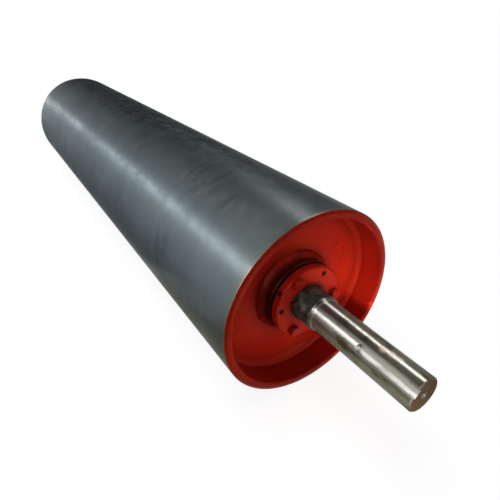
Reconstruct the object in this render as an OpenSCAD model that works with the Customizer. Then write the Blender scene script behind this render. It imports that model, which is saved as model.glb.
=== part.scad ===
// Belt conveyor drive pulley: a welded steel drum clamped to a live shaft
// by a split taper bushing at each end.
// Frame: +X runs along the shaft towards the keyed drive end, +Z is up, and
// the origin is on the shaft axis at the middle of the drum face. Millimetres.

/* [Drum shell] */
// Width of the drum face
face_w = 1295.4; // [900:0.1:1700]
// Outside diameter of the shell
shell_od = 304.8; // [295:0.1:460]
// Wall thickness of the shell
shell_wall = 12.7; // [8:0.1:18]
// Radial depth of the bevel on the outer rim edge
rim_bevel = 4.8; // [1:0.1:6]
// Chamfer on the inner rim edge
rim_break = 1.6; // [0.5:0.1:3]

/* [Discs] */
// Depth of each end disc behind the rim
disc_recess = 50.8; // [46:0.1:90]
// Thickness of each end disc
disc_t = 19.05; // [14:0.05:26]
// Thickness of the two stiffening discs inside the drum
centre_disc_t = 9.5; // [6:0.1:16]
// Distance between the two stiffening discs
centre_disc_pitch = 431.8; // [200:0.1:600]
// Shaft clearance hole in a stiffening disc
centre_disc_bore = 76.2; // [62:0.1:120]

/* [Welds] */
// Leg of the fillet between shell and end disc
rim_weld_leg = 9.5; // [5:0.1:14]
// Leg of the fillets between hub and end disc
hub_weld_leg = 9.5; // [5:0.1:12]
// Leg of the fillet on a stiffening disc
centre_weld_leg = 6.4; // [4:0.1:10]
// Bulge of a weld face over a flat fillet
weld_crown = 0.9; // [0:0.1:1.5]

/* [Hub] */
// Outside diameter of the weld-on hub
hub_od = 120.65; // [116:0.05:150]
// Length of the hub
hub_l = 50.8; // [45:0.1:70]
// Height of the hub face above the end disc
hub_rise = 21.1; // [15:0.1:30]
// Chamfer on the hub edges
hub_chamfer = 1.6; // [0.5:0.1:3]

/* [Taper bushing] */
// Diameter of the bushing flange
flange_od = 117.475; // [112:0.005:130]
// Thickness of the bushing flange
flange_t = 12.7; // [11:0.1:18]
// Gap left between flange and hub when the taper is tight
flange_gap = 3.5; // [2:0.1:6]
// Chamfer on the flange edges
flange_chamfer = 1.5; // [0.5:0.1:3]
// Length of the tapered barrel behind the flange
barrel_l = 38.1; // [25:0.1:42]
// Diameter of the taper where it meets the flange
taper_d = 79.375; // [76:0.005:82]
// Taper on diameter, per unit of length
taper_rate = 0.0625; // [0.04:0.0005:0.08]
// Width of the saw cut through the bushing
split_w = 3.2; // [2:0.1:5]
// Angle of the bushing's first cap screw around the shaft
bushing_angle = -2.5; // [-60:0.5:60]

/* [Screws] */
// Cap screws in each bushing
screw_count = 3; // [2:1:4]
// Diameter of the circle through the screws
bolt_circle = 98.425; // [94:0.005:104]
// Cap screw diameter
screw_d = 9.525; // [8:0.005:10]
// Cap screw length under the head
screw_l = 50.8; // [30:0.1:56]
// Width of the hexagon head across its flats
head_af = 14.2875; // [12:0.0005:16]
// Height of the hexagon head
head_h = 6; // [4:0.1:8]
// Outside diameter of the lock washer
washer_od = 17; // [15:0.1:18.5]
// Thickness of the lock washer
washer_t = 2.4; // [1.5:0.1:3.5]
// Gap in the split lock washer
washer_gap = 1.6; // [0.8:0.1:3]
// Diameter of the open jack screw holes
jack_d = 8.5; // [7:0.1:10]
// Diameter of the set screw over the key
set_screw_d = 7.9; // [6:0.1:9]
// Length of the set screw
set_screw_l = 12.7; // [8:0.1:16]
// Hexagon socket of the set screw, across its flats
set_screw_af = 3.97; // [3:0.01:4.5]

/* [Shaft] */
// Shaft diameter through the drum and bushings
body_d = 55.5625; // [53:0.0005:60]
// Shaft diameter at the bearing journals
journal_d = 49.2125; // [44:0.0005:52]
// Reach of the shaft past the drive rim
drive_reach = 190.5; // [160:0.1:260]
// Reach of the shaft past the tail rim
tail_reach = 114.3; // [80:0.1:200]
// Reach of the full diameter past each rim
body_reach = 18.5; // [8:0.1:30]
// Bright collar between the full diameter and the journal
collar_l = 4.5; // [2:0.1:8]
// How far the collar is turned below the full diameter
collar_cut = 0.6; // [0.2:0.1:1]
// Chamfer on each shaft end
end_chamfer = 1.6; // [0.5:0.1:3]
// Mouth diameter of the lathe centre hole
centre_mouth_d = 10; // [7:0.1:14]
// Pilot diameter of the lathe centre hole
centre_pilot_d = 4.8; // [3:0.1:6]
// Depth of the lathe centre hole
centre_depth = 12; // [10:0.1:18]

/* [Keys] */
// Width of the open keyway at the drive end
keyway_w = 12.7; // [8:0.1:14]
// Depth of the open keyway at its side
keyway_depth = 6.35; // [4:0.05:8]
// Length of the open keyway, with its round end
keyway_l = 88.9; // [50:0.1:110]
// Angle of the open keyway around the shaft
keyway_angle = 144; // [90:0.5:200]
// Width and height of the square bushing keys
key_w = 12.7; // [8:0.1:13]
// Length of the bushing keys
key_l = 44.45; // [30:0.05:48]
// How far a key starts behind the flange face
key_inset = 2; // [1:0.1:4]

/* [Hidden] */
$fn = 96;

// Clearances, all radial or per face.
seat_gap = 0.05;      // parts that are welded or pressed together
run_gap = 0.05;       // the taper, bore and screws of a bushing that slides
key_side_gap = 0.08;  // a bushing keyway beside its key
key_top_gap = 0.3;    // a bushing keyway over its key
screw_hole_gap = 0.4; // a flange hole around its cap screw
over = 1;             // overshoot of every cut

// Places along the shaft, measured inwards from a rim plane as x < 0.
rim_x = face_w / 2;
disc_x = -disc_recess;
hub_x = disc_x + hub_rise;
flange_back_x = hub_x + flange_gap;
flange_front_x = flange_back_x + flange_t;
key_x = flange_front_x - key_inset;
centre_disc_x = centre_disc_pitch / 2;

shell_ir = shell_od / 2 - shell_wall;
hub_r = hub_od / 2;
body_r = body_d / 2;
journal_r = journal_d / 2;
collar_r = body_r - collar_cut;
// The journal fillet is as large as its shoulder.
fillet_r = collar_r - journal_r;

// Distance from the axis to a slot floor, for a slot cut in a round bar to a
// depth measured at the slot's side.
function floor_r(bar_r, w, depth) = sqrt(bar_r * bar_r - w * w / 4) - depth;

key_floor_r = floor_r(body_r, key_w, key_w / 2);
key_top_r = key_floor_r + key_w;
keyway_floor_r = floor_r(journal_r, keyway_w, keyway_depth);
// The bushing key lies half a screw pitch past the second cap screw.
screw_pitch = 360 / screw_count;
key_angle = bushing_angle + 1.25 * screw_pitch;

shell_colour = [0.27, 0.31, 0.36];
enamel_colour = [0.78, 0.16, 0.09];
steel_colour = [0.72, 0.70, 0.64];
dark_colour = [0.20, 0.20, 0.19];

// A solid of revolution about X, from a profile of [radius, x] points.
module turned(profile) rotate([0, 90, 0]) rotate_extrude() polygon(profile);

// A straight round bar along X.
module bar_x(x0, x1, r) translate([x0, 0, 0]) rotate([0, 90, 0]) cylinder(h = x1 - x0, r = r);

// A rectangular slot along X, between radii r0 and r1 at an angle from +Y.
module slot_x(x0, x1, w, r0, r1, angle)
    rotate([angle, 0, 0]) translate([x0, r0, -w / 2]) cube([x1 - x0, r1 - r0, w]);

// The round end of a milled slot, bored square to the shaft.
module slot_end(x, w, r0, r1, angle)
    rotate([angle, 0, 0]) translate([x, r0, 0]) rotate([-90, 0, 0]) cylinder(h = r1 - r0, d = w);

// Puts children built on the rim plane at the drive rim or the tail rim.
module drive_end() translate([rim_x, 0, 0]) children();
module tail_end() mirror([1, 0, 0]) drive_end() children();

// Repeats children around the bolt circle, turned to a place on it.
module on_bolt_circle(start)
    for (i = [0 : screw_count - 1])
        rotate([start + i * screw_pitch, 0, 0]) translate([0, bolt_circle / 2, 0]) children();

// Fillet weld section with its corner at [r, x]. Its legs point along out_r and
// out_x, and its face is a shallow arc from one toe to the other.
function weld_section(r, x, leg, out_r, out_x) = concat(
    [[r, x]],
    [for (i = [0 : 6]) let (
        t = i / 6,
        bulge = weld_crown * 4 * t * (1 - t) / sqrt(2)
    ) [r + out_r * (leg * (1 - t) + bulge), x + out_x * (leg * t + bulge)]]
);

module drum_shell() {
    r = shell_od / 2;
    color(shell_colour) turned([
        [shell_ir + rim_break, rim_x],
        [r - rim_bevel, rim_x],
        [r, rim_x - rim_bevel / 2],
        [r, -rim_x + rim_bevel / 2],
        [r - rim_bevel, -rim_x],
        [shell_ir + rim_break, -rim_x],
        [shell_ir, -rim_x + rim_break],
        [shell_ir, rim_x - rim_break],
    ]);
}

module end_disc() {
    color(enamel_colour) difference() {
        bar_x(disc_x - disc_t, disc_x, shell_ir - seat_gap);
        bar_x(disc_x - disc_t - over, disc_x + over, hub_r + seat_gap);
    }
}

module centre_disc() {
    color(dark_colour) difference() {
        bar_x(centre_disc_x - centre_disc_t, centre_disc_x, shell_ir - seat_gap);
        bar_x(centre_disc_x - centre_disc_t - over, centre_disc_x + over, centre_disc_bore / 2);
    }
}

module rim_weld() {
    color(enamel_colour) turned(weld_section(shell_ir - seat_gap, disc_x, rim_weld_leg, -1, 1));
}

module centre_weld() {
    color(dark_colour)
        turned(weld_section(shell_ir - seat_gap, centre_disc_x, centre_weld_leg, -1, 1));
}

module hub_weld() {
    color(enamel_colour) turned(weld_section(hub_r + seat_gap, disc_x, hub_weld_leg, 1, 1));
}

module hub_back_weld() {
    color(dark_colour)
        turned(weld_section(hub_r + seat_gap, disc_x - disc_t, hub_weld_leg, 1, -1));
}

module hub() {
    // The tapered bore runs right through the hub.
    mouth_r = taper_d / 2 - taper_rate / 2 * flange_gap + run_gap;
    throat_r = mouth_r - taper_rate / 2 * hub_l;
    back_x = hub_x - hub_l;
    color(enamel_colour) difference() {
        turned([
            [throat_r, back_x],
            [hub_r - hub_chamfer, back_x],
            [hub_r, back_x + hub_chamfer],
            [hub_r, hub_x - hub_chamfer],
            [hub_r - hub_chamfer, hub_x],
            [mouth_r, hub_x],
        ]);
        on_bolt_circle(bushing_angle)
            bar_x(back_x - over, hub_x + over, screw_d / 2 + run_gap);
    }
}

module bushing() {
    back_x = flange_back_x - barrel_l;
    flange_r = flange_od / 2;
    bore_r = body_r + run_gap;
    color(enamel_colour) difference() {
        turned([
            [bore_r, back_x],
            [taper_d / 2 - taper_rate / 2 * barrel_l, back_x],
            [taper_d / 2, flange_back_x],
            [flange_r - flange_chamfer, flange_back_x],
            [flange_r, flange_back_x + flange_chamfer],
            [flange_r, flange_front_x - flange_chamfer],
            [flange_r - flange_chamfer, flange_front_x],
            [bore_r + flange_chamfer, flange_front_x],
            [bore_r, flange_front_x - flange_chamfer],
        ]);
        // Saw cut, opposite the key.
        slot_x(back_x - over, flange_front_x + over, split_w, 0, flange_r + over, key_angle + 180);
        // Keyway.
        slot_x(
            back_x - over, flange_front_x + over,
            key_w + 2 * key_side_gap, 0, key_top_r + key_top_gap, key_angle
        );
        on_bolt_circle(bushing_angle)
            bar_x(flange_back_x - over, flange_front_x + over, screw_d / 2 + screw_hole_gap);
        on_bolt_circle(bushing_angle + screw_pitch / 2)
            bar_x(flange_back_x - over, flange_front_x + over, jack_d / 2);
        set_screw_hole();
    }
}

// Radial hole through the flange rim, down to the keyway.
module set_screw_hole() {
    rotate([key_angle, 0, 0])
        translate([flange_front_x - flange_t / 2, body_r, 0])
            rotate([-90, 0, 0]) cylinder(h = flange_od / 2 - body_r + over, d = set_screw_d);
}

module set_screw() {
    socket_depth = set_screw_l / 2;
    color(dark_colour) rotate([key_angle, 0, 0])
        translate([flange_front_x - flange_t / 2, key_top_r + run_gap, 0])
            rotate([-90, 0, 0]) difference() {
                cylinder(h = set_screw_l, r = set_screw_d / 2 - seat_gap);
                translate([0, 0, set_screw_l - socket_depth])
                    cylinder(h = socket_depth + over, d = set_screw_af / cos(30), $fn = 6);
            }
}

module cap_screws() {
    head_x = flange_front_x + washer_t;
    head_r = head_af / 2 / cos(30);
    color(enamel_colour) on_bolt_circle(bushing_angle) {
        bar_x(head_x - screw_l, head_x + head_h / 2, screw_d / 2);
        // Hexagon head with its top corners turned off at 30 degrees.
        intersection() {
            translate([head_x, 0, 0]) rotate([0, 90, 0]) cylinder(h = head_h, r = head_r, $fn = 6);
            turned([
                [0, head_x],
                [head_r + over, head_x],
                [head_r + over, head_x + head_h - (head_r + over - head_af / 2) * tan(30)],
                [head_af / 2, head_x + head_h],
                [0, head_x + head_h],
            ]);
        }
    }
}

module lock_washers() {
    color(enamel_colour) on_bolt_circle(bushing_angle) difference() {
        bar_x(flange_front_x, flange_front_x + washer_t, washer_od / 2);
        bar_x(flange_front_x - over, flange_front_x + washer_t + over, screw_d / 2 + screw_hole_gap);
        translate([flange_front_x - over, 0, -washer_gap / 2])
            cube([washer_t + 2 * over, washer_od / 2 + over, washer_gap]);
    }
}

module bushing_key() {
    side = key_w - 2 * seat_gap;
    color(steel_colour)
        slot_x(key_x - key_l, key_x, side, key_floor_r + seat_gap, key_top_r, key_angle);
}

// Half of the shaft's outline, from the middle of the drum to one end.
function shaft_half(reach) = let (
    body_x = rim_x + body_reach,
    collar_x = body_x + collar_l,
    end_x = rim_x + reach
) concat(
    [[body_r, body_x - collar_cut], [collar_r, body_x], [collar_r, collar_x]],
    [for (i = [0 : 8]) let (a = 90 * i / 8)
        [journal_r + fillet_r * (1 - sin(a)), collar_x + fillet_r * (1 - cos(a))]],
    [[journal_r, end_x - end_chamfer], [journal_r - end_chamfer, end_x], [0, end_x]]
);

// Lathe centre: a pilot drilled on the axis under a 60 degree mouth.
module centre_hole(reach) {
    end_x = rim_x + reach;
    cone_l = (centre_mouth_d - centre_pilot_d) / 2 / tan(30);
    translate([end_x - centre_depth, 0, 0]) rotate([0, 90, 0])
        cylinder(h = centre_depth + over, d = centre_pilot_d);
    translate([end_x - cone_l, 0, 0]) rotate([0, 90, 0])
        cylinder(h = cone_l, d1 = centre_pilot_d, d2 = centre_mouth_d);
}

// Closed seat milled in the shaft for a bushing key.
module key_seat() {
    outer_r = body_r + over;
    slot_x(key_x - key_l, key_x, key_w, key_floor_r, outer_r, key_angle);
    slot_end(key_x - key_l, key_w, key_floor_r, outer_r, key_angle);
    slot_end(key_x, key_w, key_floor_r, outer_r, key_angle);
}

// Keyway open to the drive end, with a round inner end.
module open_keyway() {
    start_x = rim_x + drive_reach - keyway_l + keyway_w / 2;
    slot_x(start_x, rim_x + drive_reach + over, keyway_w, keyway_floor_r, journal_r + over, keyway_angle);
    slot_end(start_x, keyway_w, keyway_floor_r, journal_r + over, keyway_angle);
}

module pulley_shaft() {
    drive_half = shaft_half(drive_reach);
    tail_half = shaft_half(tail_reach);
    last = len(tail_half) - 1;
    color(steel_colour) difference() {
        turned(concat(drive_half, [for (i = [last : -1 : 0]) [tail_half[i][0], -tail_half[i][1]]]));
        drive_end() key_seat();
        tail_end() key_seat();
        open_keyway();
        centre_hole(drive_reach);
        mirror([1, 0, 0]) centre_hole(tail_reach);
    }
}

drum_shell();
drive_end() end_disc();  // drive_end_disc
tail_end() end_disc();  // tail_end_disc
centre_disc();  // drive_centre_disc
mirror([1, 0, 0]) centre_disc();  // tail_centre_disc
drive_end() rim_weld();  // drive_rim_weld
tail_end() rim_weld();  // tail_rim_weld
centre_weld();  // drive_centre_weld
mirror([1, 0, 0]) centre_weld();  // tail_centre_weld
drive_end() hub();  // drive_hub
tail_end() hub();  // tail_hub
drive_end() hub_weld();  // drive_hub_weld
tail_end() hub_weld();  // tail_hub_weld
drive_end() hub_back_weld();  // drive_hub_back_weld
tail_end() hub_back_weld();  // tail_hub_back_weld
drive_end() bushing();  // drive_bushing
tail_end() bushing();  // tail_bushing
drive_end() cap_screws();  // drive_cap_screws
tail_end() cap_screws();  // tail_cap_screws
drive_end() lock_washers();  // drive_lock_washers
tail_end() lock_washers();  // tail_lock_washers
drive_end() set_screw();  // drive_set_screw
tail_end() set_screw();  // tail_set_screw
drive_end() bushing_key();  // drive_bushing_key
tail_end() bushing_key();  // tail_bushing_key
pulley_shaft();
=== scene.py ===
import bpy
import bmesh
from math import cos, hypot, pi, radians, sin, sqrt, tan
from mathutils import Matrix, Vector, noise


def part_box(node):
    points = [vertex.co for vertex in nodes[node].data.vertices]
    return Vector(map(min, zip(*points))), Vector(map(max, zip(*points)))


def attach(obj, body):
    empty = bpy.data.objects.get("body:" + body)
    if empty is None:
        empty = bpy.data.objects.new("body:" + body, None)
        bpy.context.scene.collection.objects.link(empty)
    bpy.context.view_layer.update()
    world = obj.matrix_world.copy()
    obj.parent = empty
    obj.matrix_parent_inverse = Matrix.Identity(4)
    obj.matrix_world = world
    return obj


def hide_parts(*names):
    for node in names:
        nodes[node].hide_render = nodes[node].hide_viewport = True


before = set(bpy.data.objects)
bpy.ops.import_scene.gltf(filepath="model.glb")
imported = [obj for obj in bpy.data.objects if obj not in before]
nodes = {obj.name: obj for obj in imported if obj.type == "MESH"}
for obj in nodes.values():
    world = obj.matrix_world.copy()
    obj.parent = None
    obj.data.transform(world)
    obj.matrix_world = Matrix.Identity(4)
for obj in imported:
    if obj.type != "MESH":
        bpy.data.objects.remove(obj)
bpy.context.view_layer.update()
scene = bpy.context.scene
scene.view_settings.view_transform = "Standard"

# tables of pieces and spots are in millimetres and degrees, their places along the shaft counted outwards
# from a rim plane; those of finishes, lights and cards are in metres
mm = 0.001
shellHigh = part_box("drum_shell")[1]
shaftLow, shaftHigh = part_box("pulley_shaft")
rimX = shellHigh.x
drumRadius = shellHigh.z
ends = {"drive": 1, "tail": -1}
print("frame loaded")


def spunPoint(x, r, angle):
    return Vector((x, r * cos(angle), r * sin(angle)))


# node helpers: a value is a number or another node's output
def newMaterial(name):
    material = bpy.data.materials.new(name)
    material.use_nodes = True
    tree = material.node_tree
    tree.nodes.clear()
    return material, tree


def addNode(tree, kind, inputs=None, **settings):
    node = tree.nodes.new("ShaderNode" + kind)
    for key, value in settings.items():
        setattr(node, key, value)
    for key, value in (inputs or {}).items():
        if isinstance(value, bpy.types.NodeSocket):
            tree.links.new(value, node.inputs[key])
        else:
            node.inputs[key].default_value = value
    return node


def calc(tree, operation, a, b=0.0):
    return addNode(tree, "Math", {0: a, 1: b}, operation=operation).outputs[0]


def times(tree, value, *others):
    for other in others:
        value = calc(tree, "MULTIPLY", value, other)
    return value


def plus(tree, value, *others):
    for other in others:
        value = calc(tree, "ADD", value, other)
    return value


def ramp(tree, value, low, high, toLow=0.0, toHigh=1.0):
    # smooth step of value between low and high
    node = addNode(tree, "MapRange", {"Value": value, "From Min": low, "From Max": high,
                                      "To Min": toLow, "To Max": toHigh})
    node.interpolation_type = "SMOOTHSTEP"
    return node.outputs[0]


def mixed(tree, factor, a, b):
    node = addNode(tree, "Mix", data_type="RGBA")
    for index, value in ((0, factor), (6, a), (7, b)):
        if isinstance(value, bpy.types.NodeSocket):
            tree.links.new(value, node.inputs[index])
        else:
            node.inputs[index].default_value = value if index == 0 else (*value, 1.0)
    return node.outputs[2]


def placeIn(tree):
    return addNode(tree, "TexCoord").outputs["Object"]


def axes(tree):
    return addNode(tree, "SeparateXYZ", {0: placeIn(tree)}).outputs


def fromRimPlane(tree):
    return calc(tree, "SUBTRACT", calc(tree, "ABSOLUTE", axes(tree)["X"]), rimX)


def fromShaft(tree):
    # distance from the shaft's centre line
    place = axes(tree)
    return calc(tree, "SQRT", plus(tree, times(tree, place["Y"], place["Y"]), times(tree, place["Z"], place["Z"])))


def roundShaft(tree):
    place = axes(tree)
    return calc(tree, "ARCTAN2", place["Z"], place["Y"])


def spot(tree, place, inner, outer):
    # 1 close to a place on a turned face at the drive end: mm from the rim plane, degrees round the shaft,
    # radius in mm, and the radii between which it fades
    x, angle, radius = place
    centre = spunPoint(rimX + x * mm, radius * mm, radians(angle))
    away = addNode(tree, "VectorMath", {0: placeIn(tree), 1: centre}, operation="DISTANCE").outputs["Value"]
    return ramp(tree, away, inner * mm, outer * mm, 1.0, 0.0)


def anyOf(tree, value, spots):
    for one in spots:
        value = calc(tree, "MAXIMUM", value, spot(tree, *one))
    return value


def grain(tree, scale, detail, rough, offset):
    # noise in metres of the row frame, with its own scale along each axis
    moved = addNode(tree, "Mapping", {"Vector": placeIn(tree), "Location": (offset, 1.7 * offset, -offset),
                                      "Scale": scale}).outputs[0]
    return addNode(tree, "TexNoise", {"Vector": moved, "Scale": 1.0, "Detail": detail,
                                      "Roughness": rough}).outputs["Fac"]


measures = {"depth": fromRimPlane, "radius": fromShaft, "turn": roundShaft}


def grained(look):
    # a new material with the look's noise patterns, its colour, and a function for its rows; a row is
    # (pattern or measure, from, to, least, most) and a layer is (pattern, from, to, most, colour)
    material, tree = newMaterial(look["name"])
    made = {name: grain(tree, *pattern) for name, pattern in look["grains"].items()}

    def faded(name, *span):
        return ramp(tree, made[name] if name in made else measures[name](tree), *span)

    def band(*rows):
        # the product of the rows of these names
        return times(tree, *[faded(*look[row]) for row in rows])

    *span, under, over = look["base"]
    tone = mixed(tree, faded(*span), look[under], look[over])
    for name, low, high, most, colour in look["layers"]:
        tone = mixed(tree, faded(name, low, high, 0.0, most), tone, look[colour])
    return material, tree, made, band, tone


def finish(material, tree, look, height, inputs):
    distance, strength = look["bump"]
    inputs["Normal"] = addNode(tree, "Bump", {"Height": height, "Distance": distance,
                                              "Strength": strength}).outputs[0]
    shader = addNode(tree, "BsdfPrincipled", inputs)
    addNode(tree, "OutputMaterial", {"Surface": shader.outputs[0]})
    return material


def brushedSteel(material, tree, look, height, tone, rough):
    # turned steel, its highlights drawn out across the turning marks
    tangent = addNode(tree, "Tangent", direction_type="RADIAL", axis="X").outputs[0]
    return finish(material, tree, look, height, {
        "Base Color": tone, "Metallic": 1.0, "Roughness": rough, "Anisotropic": look["brushed"],
        "Anisotropic Rotation": 0.25, "Specular Tint": (*look["edge"], 1.0), "Tangent": tangent})


# drum face: dark turned steel under a film of oil, wiped in places, with a bare line at each rim, lightened as a
# painted edge highlight
shellLook = {
    "name": "turnedShellSteel", "steel": (0.110, 0.131, 0.135), "deep": (0.083, 0.099, 0.104),
    "worn": (0.130, 0.150, 0.152), "light": (0.160, 0.178, 0.180), "stain": (0.045, 0.050, 0.049),
    "bare": (0.165, 0.112, 0.080), "edge": (0.54, 0.54, 0.54), "brushed": 0.45,
    "grains": {"rings": ((520, 4, 4), 3, 0.55, 0.0),      # turning marks, one after another along the face
               "bands": ((16, 1.5, 1.5), 3, 0.5, 3.1),    # broader passes of the lathe
               "clouds": ((6, 7, 7), 4, 0.6, 7.7),        # oil and handling
               "mottle": ((40, 46, 46), 4, 0.65, 5.2),
               "strokes": ((90, 20, 20), 3, 0.6, 1.3),    # short strokes of a cloth around the drum
               "patches": ((6, 7, 7), 2, 0.5, 4.9),
               "rubbed": ((28, 15, 15), 3, 0.55, 6.6)},
    "base": ("clouds", 0.32, 0.68, "deep", "steel"),
    "layers": [("bands", 0.35, 0.65, 0.16, "worn"), ("mottle", 0.42, 0.68, 0.28, "deep"),
               ("rings", 0.40, 0.70, 0.10, "light")],
    "wipedAnywhere": ("patches", 0.52, 0.68, 0.0, 0.10),
    "wiped": [((-222, 108, 152.4), 30, 90), ((-122, 117, 152.4), 4, 34), ((-228, 165, 152.4), 15, 80),
              ((-970, 107, 152.4), 15, 65), ((-500, 112, 152.4), 15, 85)],
    "strokes": ("strokes", 0.46, 0.60), "strokeMix": 0.40, "strokeRough": 0.02,
    "rubbed": ("rubbed", 0.56, 0.70), "rubbedWhere": ("patches", 0.36, 0.52, 1.0, 0.0), "rubbedMix": 0.30,
    "bareLine": ("depth", -0.0062, -0.0040), "bareMottle": ("mottle", 0.35, 0.60, 0.35, 0.9),
    "cloudRough": ("clouds", 0.3, 0.7, 0.365, 0.295), "mottleRough": ("mottle", 0.35, 0.68, -0.03, 0.05),
    "bump": (0.00003, 0.4)}


def turnedShell(look):
    material, tree, made, band, tone = grained(look)
    strokes = times(tree, band("strokes"), anyOf(tree, band("wipedAnywhere"), look["wiped"]))
    tone = mixed(tree, times(tree, strokes, look["strokeMix"]), tone, look["stain"])
    tone = mixed(tree, times(tree, band("rubbed", "rubbedWhere"), look["rubbedMix"]), tone, look["light"])
    # a tan line by each rim: bare steel, lightened as a painted edge highlight
    tone = mixed(tree, band("bareLine", "bareMottle"), tone, look["bare"])
    rough = plus(tree, band("cloudRough"), band("mottleRough"), times(tree, strokes, look["strokeRough"]))
    return brushedSteel(material, tree, look, made["rings"], tone, rough)


# brushed red enamel on the ends, with painted shade in the corners, behind the flange and low on the inner wall,
# and darker round the shaft
enamelLook = {
    "name": "redEnamel", "red": (0.60, 0.024, 0.007), "deep": (0.52, 0.014, 0.006),
    "thin": (0.63, 0.036, 0.010), "paintedShade": (0.055, 0.007, 0.005), "nearBlack": (0.012, 0.003, 0.003),
    "dust": (0.62, 0.12, 0.07), "sheen": (1.0, 0.40, 0.30), "gloss": 0.08,
    "grains": {"clouds": ((14, 14, 14), 3, 0.5, 0.0), "mottle": ((85, 85, 85), 4, 0.6, 2.2),
               "peel": ((900, 900, 900), 2, 0.5, 5.0), "sags": ((120, 160, 60), 2, 0.5, 8.8),
               "specks": ((420, 420, 420), 2, 0.7, 6.1)},
    "base": ("clouds", 0.3, 0.7, "deep", "red"), "layers": [("mottle", 0.45, 0.75, 0.35, "thin")],
    "cornerReach": 0.040, "corners": (0.30, 0.92, 0.95, 0.0), "cornerMottle": ("mottle", 0.30, 0.62, 0.45, 1.0),
    # painted shade round the hub behind the flange
    "behindFlange": ("depth", -0.0285, -0.0262, 1.0, 0.0), "aroundHub": ("radius", 0.058, 0.088, 1.0, 0.0),
    # near-black painted shade on the side and face of the hub behind the flange
    "hubMottle": ("mottle", 0.36, 0.60, 0.45, 0.75), "hubSide": ("depth", -0.045, -0.034),
    "hubSkin": ("radius", 0.0605, 0.0630, 0.75, 0.0),
    "lowWallShade": ((-25, 252, 139.7), 60, 150), "wall": ("radius", 0.128, 0.136, 0.0, 0.38),
    "roundShaft": ("radius", 0.0285, 0.0385, 0.85, 0.0), "shaftMottle": ("mottle", 0.30, 0.62, 0.40, 1.0),
    "specks": ("specks", 0.60, 0.72), "speckWhere": ("mottle", 0.40, 0.65, 0.0, 0.35),
    "peel": 0.16, "bump": (0.0007, 0.5), "mottleRough": ("mottle", 0.3, 0.7, 0.27, 0.40)}


def redEnamel(look):
    material, tree, made, band, tone = grained(look)
    # painted shade: the red is darker in corners and creases, going by ambient occlusion
    hollow = addNode(tree, "AmbientOcclusion", {"Distance": look["cornerReach"]}, samples=8).outputs["AO"]
    cornerShade = times(tree, ramp(tree, hollow, *look["corners"]), band("cornerMottle"))
    # painted shade low on the inner wall of the recess
    lowWallShade = times(tree, spot(tree, *look["lowWallShade"]), band("wall"))
    # in turn: painted shade in corners, painted shade round the hub behind the flange, near-black painted shade on
    # the hub behind the flange, painted shade low on the inner wall, a near-black ring round the shaft on the
    # flange, and dust specks
    for mask, colour in ((cornerShade, "paintedShade"), (band("aroundHub", "behindFlange", "hubMottle"), "paintedShade"),
                         (band("hubSide", "hubSkin", "behindFlange"), "nearBlack"), (lowWallShade, "paintedShade"),
                         (band("roundShaft", "shaftMottle"), "nearBlack"), (band("specks", "speckWhere"), "dust")):
        tone = mixed(tree, mask, tone, look[colour])
    height = plus(tree, times(tree, made["peel"], look["peel"]), made["sags"])
    return finish(material, tree, look, height, {
        "Base Color": tone, "Roughness": band("mottleRough"),
        "Specular IOR Level": look["gloss"], "Specular Tint": (*look["sheen"], 1.0)})


# bright journals under a thin film of preservative, smeared, hazed in places with a lighter tone that is a painted
# reflection, less polished by the shoulder
journalLook = {
    "name": "turnedJournalSteel", "steel": (0.30, 0.29, 0.255), "film": (0.235, 0.22, 0.165),
    "ring": (0.34, 0.33, 0.29), "smear": (0.085, 0.072, 0.046), "hazeAndReflection": (0.62, 0.52, 0.44),
    "edge": (0.60, 0.60, 0.58), "brushed": 1.0,
    "grains": {"rings": ((900, 6, 6), 3, 0.6, 0.0), "film": ((20, 34, 34), 4, 0.6, 2.9),
               "smears": ((30, 110, 110), 4, 0.65, 9.3), "specks": ((260, 300, 300), 3, 0.6, 2.4),
               "scratches": ((18, 900, 900), 2, 0.5, 4.4)},
    "base": ("film", 0.38, 0.64, "steel", "film"),
    "layers": [("rings", 0.35, 0.7, 0.30, "ring"), ("specks", 0.66, 0.74, 0.55, "smear")],
    "smears": ("smears", 0.50, 0.60), "smearWhere": ("film", 0.42, 0.52),
    "unpolished": ("depth", 0.0235, 0.029, 1.0, 0.0),
    "hazed": [((130, 103, 24.6), 2, 8), ((142, 96, 24.6), 2, 9), ((152, 90, 24.6), 1, 7)],
    "hazeMottle": ("smears", 0.36, 0.54, 0.5, 1.0),
    "smearMix": (0.72, "smear", 0.08), "unpolishedMix": (0.35, "smear", 0.05), "hazeMix": (0.8, "hazeAndReflection", 0.42),
    "filmRough": ("film", 0.35, 0.65, 0.32, 0.37), "scratches": 0.25, "bump": (0.00002, 0.5)}


def turnedJournal(look):
    material, tree, made, band, tone = grained(look)
    # hazed film spots across the dark band: rougher, and lighter as a painted reflection
    hazed = times(tree, anyOf(tree, 0.0, look["hazed"]), band("hazeMottle"))
    rough = band("filmRough")
    # each mark has its share, its colour and how much duller it is
    for mask, mark in ((band("smears", "smearWhere"), "smearMix"), (band("unpolished"), "unpolishedMix"),
                       (hazed, "hazeMix")):
        share, colour, duller = look[mark]
        tone = mixed(tree, times(tree, mask, share), tone, look[colour])
        rough = plus(tree, rough, times(tree, mask, duller))
    height = plus(tree, made["rings"], times(tree, made["scratches"], look["scratches"]))
    return brushedSteel(material, tree, look, height, tone, rough)


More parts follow.
